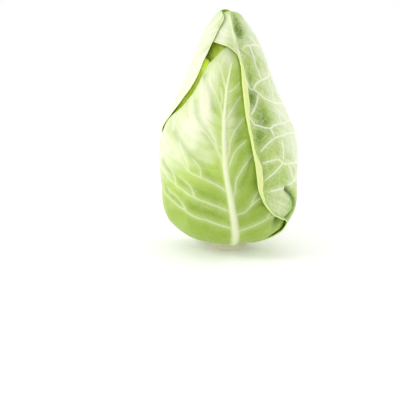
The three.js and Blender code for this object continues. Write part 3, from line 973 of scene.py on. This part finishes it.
FRONT_VEINS = [
    [(-5.5, 118), (-7, 125), (-10.5, 137), (-17, 147), (-25, 155), (-32, 161)],
    [(-5.2, 84), (-8.5, 94), (-13, 103), (-21, 113), (-30, 121), (-42, 128)],
    [(-3, 62), (-12, 68), (-24, 74), (-35, 79), (-43, 87), (-53, 98), (-66, 108)],
    [(-1, 44), (-12, 48), (-30, 55), (-50, 64), (-70, 78), (-86, 92)],
    [(1.5, 28), (-16, 32), (-40, 40), (-66, 52), (-92, 66)],
    [(-4.5, 151), (-9, 160), (-14, 168), (-20, 175)],
    [(-1.8, 150), (3.3, 152), (8, 155), (12, 158)],
    [(-5, 124), (-2, 130), (1, 134), (6, 141), (12, 147)],
    [(-4, 88), (-1.6, 98), (-0.3, 108), (4, 117.5), (10, 125), (15, 130)],
    [(-3, 78), (0, 90), (3.4, 98.7), (8, 104), (14, 109)],
    [(1, 52), (3.5, 62), (4.6, 73), (9.6, 83), (15.7, 92), (20, 98)],
    [(2, 40), (12, 43), (16, 48), (22, 53), (30, 57)],
    [(4, 24), (16, 27), (34, 33), (52, 40)],
    [(-12, 103), (-14, 110), (-20, 118)],
    [(-24, 74), (-26, 84), (-34, 92)],
    [(-30, 55), (-36, 66), (-48, 74)],
    [(-10.5, 137), (-10, 146), (-13, 154)],
    [(-50, 64), (-54, 76), (-64, 86)],
    [(-40, 40), (-50, 52), (-64, 60)],
    [(16, 48), (22, 60), (30, 68)],
    [(34, 33), (40, 44), (48, 50)],
    [(-35, 79), (-40, 92), (-50, 106)],
]
FRONT_ROLL = [(0, 1.0, 30, 0.4), (100, 1.0, 30, 0.4), (135, 1.0, 35, 0.5), (165, 1.0, 30, 0.4),
              (190, 0.8, 15, 0.2)]
front = leaf_piece("front_leaf_blade", front_leaf, (FRONT_ROLL, FLAT_ROLL), FINE_GRID)
raise_veins(front, rib_line(front_leaf, (4.6, 0.6), (2.6, 0.6)), "rib", outer_skin)
front_net = chosen_veins(front_leaf, FRONT_VEINS, (0.95, 0.6), (0.42, 0.1))
raise_net(front, front_net, outer_skin)
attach(front, "root")
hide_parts("front_leaf")

# ------------------------------------------------------------------ right wrapper leaf
# An outer leaf with a blue-green bloom of wax. Its top folds over the tip as a hood, and
# its thick pale margin is rolled outwards all the way down the front.
waxy_skin = leaf_finish(
    "waxy leaf skin",
    green=(0.43, 0.57, 0.14, 1), deep=(0.32, 0.46, 0.07, 1), painted_shade_green=(0.20, 0.33, 0.02, 1),
    bloom_and_lit_pale=(0.70, 0.77, 0.56, 1), pale=(0.74, 0.81, 0.54, 1), back=(0.58, 0.72, 0.18, 1),
    rough=0.48, net_share=0.38, vein_share=0.8, relief=0.25 * MM,
)
right_leaf = Leaf(
    1, low=[76, (74, 13), (68, 22), (60, 30), (49, 35), (38, 40.5), (30, 49), (25, 58), (22, 68), (20, 84),
            (17.8, 98), (15.6, 116), (15, 136), (15.6, 152), (16.6, 168), (13.5, 177), (7.5, 182.5),
            (-5, 186.3), (-20, 189.2), (-42, 191.8), (-66, 196), (-90, 203), (-110, 209)],
    midrib=[112, (110, 13), (106, 32), (103, 60), (100, 95), (97, 130), (92, 160), (82, 188), (60, 206)],
    high=[148, (165, 14), (186, 40), (201, 80), (206, 120), (205, 160), (200, 188), (206, 204), (228, 211)],
    # Swells and creases below 0 sink the blade and also get painted shade in its skin; the deep fold gets
    # the darkest.
    swells=[(75, 110, 38, 75, 0.6), (36, 118, 18, 50, 2.2), (62, 50, 15, 16, 3.2), (0, 197, 16, 16, 1.4),
            (0, 216, 720, 6, 1.6), (24, 143, 4.5, 9, -3.2), (31, 124, 6.5, 10, -3.4),
            (24, 110, 4.5, 7, -2.2), (40, 182, 7, 6, -1.6),
            (46, 171, 7, 6, -1.8), (22, 203, 12, 8, -5.4), (27, 160, 5, 6, -1.6)],
    creases=[([(25, 58), (21, 76), (19, 92), (16, 116), (15, 136), (16, 152), (17, 168)], 3.6, 2.4),
             ([(-4, 212), (2, 203), (8, 193), (12.5, 183), (15.5, 174)], 2.2, 2.2),
             (FOLD, 2.6, -5.2)],
    # Spots of pale wax bloom, on the hood also painted light; below 0 painted shade at the fold and in the
    # hollows beside the rolled margin.
    wax=[(86, 110, 24, 100, 1.0), (56, 120, 16, 50, 0.45), (61, 45, 7, 14, -0.8),
         (-16, 198, 20, 14, 1.0), (44, 50, 14, 16, 0.4),
         (50, 196, 30, 16, 0.7), (130, 110, 40, 90, 0.6), (40, 76, 12, 12, -0.35), (26, 128, 8, 26, -0.5)],
    bare=[(0, -44, 126), (216, -44, 126)],
    pucker=1.2, seed=15,
)
RIGHT_VEINS = [
    [(100, 128), (75, 134.5), (54, 136.7), (46, 139), (39.6, 141), (35, 144.5), (29, 149.5), (24.6, 152),
     (20, 160)],
    [(29, 149.5), (34, 154), (46, 157), (62, 159), (84, 162)],
    [(92, 184), (60, 187), (31, 187), (22, 184)],
    [(99, 116), (75, 119.5), (54, 119), (42, 118.5), (36.5, 116.5), (27, 119.6), (21, 121), (17, 129)],
    [(20, 129), (24, 133), (27, 136), (33, 145)],
    [(100, 103), (76, 108), (60, 110), (48, 109), (39, 108), (31, 104), (24, 98)],
    [(36.5, 116.5), (39.3, 108)],
    [(103, 74), (84, 79), (63, 83), (52, 84), (44.7, 85.6), (39, 89.7), (25, 87.7)],
    [(43.5, 85), (35, 78), (27.6, 72)],
    [(45.3, 104.2), (46, 95), (44.7, 87.3)],
    [(51, 62), (46.7, 62.7), (38.6, 62), (31.7, 61.3)],
    [(92, 66), (78, 67), (64, 66.7), (50.5, 64.7)],
    [(54, 136.7), (56, 128), (54, 119)],
    [(62, 159), (58, 148), (54, 137)],
    [(60, 110), (64, 98), (63, 83)],
    [(76, 108), (80, 94), (84, 79)],
    [(75, 134.5), (80, 148), (84, 162)],
    [(40, 187), (44, 176), (46, 157)],
    [(15.5, 172), (14, 180), (9, 191), (2.5, 203), (-4, 211)],
    [(64, 66.7), (60, 75), (52, 84)],
]
RIGHT_ROLL = [(0, 0.9, 60, 0.3), (24, 0.9, 80, 0.3), (36, 0.9, 120, 0.3), (48, 0.9, 160, 0.4),
              (60, 1.0, 180, 1.0), (70, 1.2, 175, 3.2), (84, 1.3, 175, 3.6), (92, 1.1, 185, 1.6),
              (100, 0.9, 185, 0.4), (122, 1.0, 190, 0.8),
              (136, 1.35, 195, 2.7), (150, 1.35, 195, 2.7), (160, 1.1, 190, 1.7), (172, 0.8, 180, 0.4),
              (179, 0.6, 90, 0.1), (184, 0.5, 25, 0.1), (216, 0.5, 15, 0.1)]
right = leaf_piece("right_wrapper_blade", right_leaf, (RIGHT_ROLL, FLAT_ROLL), FINE_GRID)
raise_veins(right, rib_line(right_leaf, (5.0, 0.9), (3.0, 0.6)), "rib", waxy_skin)
right_net = chosen_veins(right_leaf, RIGHT_VEINS, (1.0, 0.75), (0.9, 0.45))
right_net += vein_net(right_leaf, 11, 25, (1.2, 0.9), (0.8, 0.4), (1,))
raise_net(right, right_net, waxy_skin)
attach(right, "root")
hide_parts("right_wrapper_leaf")

# ------------------------------------------------------------------ left wrapper leaf
# The outermost leaf. It covers the left, most of the back and the tip, over the hood.
left_leaf = Leaf(
    0, low=[-172, (-192, 14), (-216, 40), (-233, 80), (-239, 120), (-238, 160), (-226, 188), (-200, 207),
            (-165, 213)],
    midrib=[-137, (-138, 14), (-139, 40), (-140, 80), (-140, 120), (-138, 160), (-128, 188), (-100, 207)],
    high=[-104, (-114, 14), (-130, 36), (-136, 62), (-126, 84), (-106, 101), (-89, 113), (-78, 123),
          (-68, 133),
          (-58, 145), (-51, 158), (-47, 170), (-41, 180), (-36, 189), (-30, 199), (-22, 208)],
    tip=(-52, 213), swells=[(-75, 213, 70, 6, 0.7), (-150, 212, 45, 7, 1.2)],
    # Spots of pale wax bloom, also painted light on the side that faces the key light.
    wax=[(-60, 160, 60, 70, 1.0), (-150, 100, 70, 100, 0.7)],
    pucker=1.1, seed=16,
)
LEFT_ROLL = [(0, 1.0, 40, 0.4), (90, 0.9, 25, 0.3), (140, 0.9, 30, 0.3), (190, 0.7, 25, 0.2),
             (216, 0.5, 10, 0.1)]
left = leaf_piece("left_wrapper_blade", left_leaf, (FLAT_ROLL, LEFT_ROLL), WIDE_GRID)
raise_veins(left, rib_line(left_leaf, (5.0, 0.9), (3.0, 0.6)), "rib", waxy_skin)
raise_net(left, vein_net(left_leaf, 10, 24, (1.25, 0.95), (0.7, 0.4)), waxy_skin)
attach(left, "root")
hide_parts("left_wrapper_leaf")
